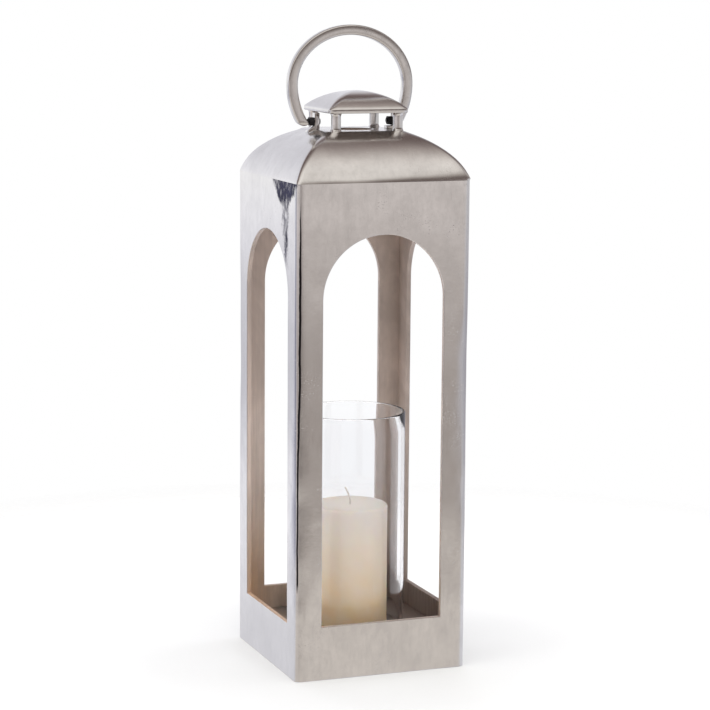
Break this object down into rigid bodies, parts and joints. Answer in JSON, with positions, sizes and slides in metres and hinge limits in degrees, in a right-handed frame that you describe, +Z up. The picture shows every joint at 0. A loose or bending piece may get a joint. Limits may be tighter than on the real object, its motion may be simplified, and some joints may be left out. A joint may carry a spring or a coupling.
{
  "type": "candle lantern",
  "caption": "Tall square cast metal lantern with arched windows, domed roof, raised vent cap and swinging ring handle, holding a glass hurricane and a pillar candle.",
  "frame": {"origin": "middle of the base, on the surface the lantern stands on", "axes": "+Z up, the front window faces -Y, the handle's pivots lie along X"},
  "size_m": [0.18, 0.18, 0.6377],
  "materials": {
    "polished_aluminium": "hand polished cast aluminium with a warm nickel tone, soft brush marks and casting pits",
    "raw_casting": "as-cast sand texture, unpolished",
    "zinc_steel": "zinc plated",
    "dark_steel": "black oxide",
    "clear_glass": "clear blown glass, polished",
    "ivory_wax": "ivory wax, faintly translucent with a soft sheen",
    "cotton_wick": "waxed braided cotton"
  },
  "bodies": {
    "tower": {"front_wall": "polished_aluminium", "right_wall": "polished_aluminium", "back_wall": "polished_aluminium", "left_wall": "polished_aluminium", "roof_dome": "polished_aluminium", "vent_cap": "polished_aluminium", "handle_lug_left": "polished_aluminium", "handle_lug_right": "polished_aluminium", "cap_post_front_left": "polished_aluminium", "cap_post_front_right": "polished_aluminium", "cap_post_back_right": "polished_aluminium", "cap_post_back_left": "polished_aluminium", "floor_plate": "raw_casting", "floor_cleat_front_left": "raw_casting", "floor_cleat_front_right": "raw_casting", "floor_cleat_back_right": "raw_casting", "floor_cleat_back_left": "raw_casting", "floor_screw_front_left": "zinc_steel", "floor_screw_front_right": "zinc_steel", "floor_screw_back_right": "zinc_steel", "floor_screw_back_left": "zinc_steel", "post_screw_front_left": "zinc_steel", "post_screw_front_right": "zinc_steel", "post_screw_back_right": "zinc_steel", "post_screw_back_left": "zinc_steel", "pivot_stud_left": "dark_steel", "pivot_stud_right": "dark_steel", "pivot_nut_left": "dark_steel", "pivot_nut_right": "dark_steel"},
    "handle": {"handle_ring": "polished_aluminium"},
    "glass": {"glass_hurricane": "clear_glass"},
    "candle": {"candle": "ivory_wax", "wick": "cotton_wick"}
  },
  "joints": [
    {"name": "handle_swing", "type": "hinge", "parent": "tower", "child": "handle", "pos_m": [0, 0, 0.543], "axis": [1, 0, 0], "range_deg": [-99, 99]},
    {"name": "glass_lift", "type": "slide", "parent": "tower", "child": "glass", "axis": [0, 0, 1], "range_m": [0, 0.03]},
    {"name": "candle_lift", "type": "slide", "parent": "tower", "child": "candle", "axis": [0, 0, 1], "range_m": [0, 0.225]}
  ]
}
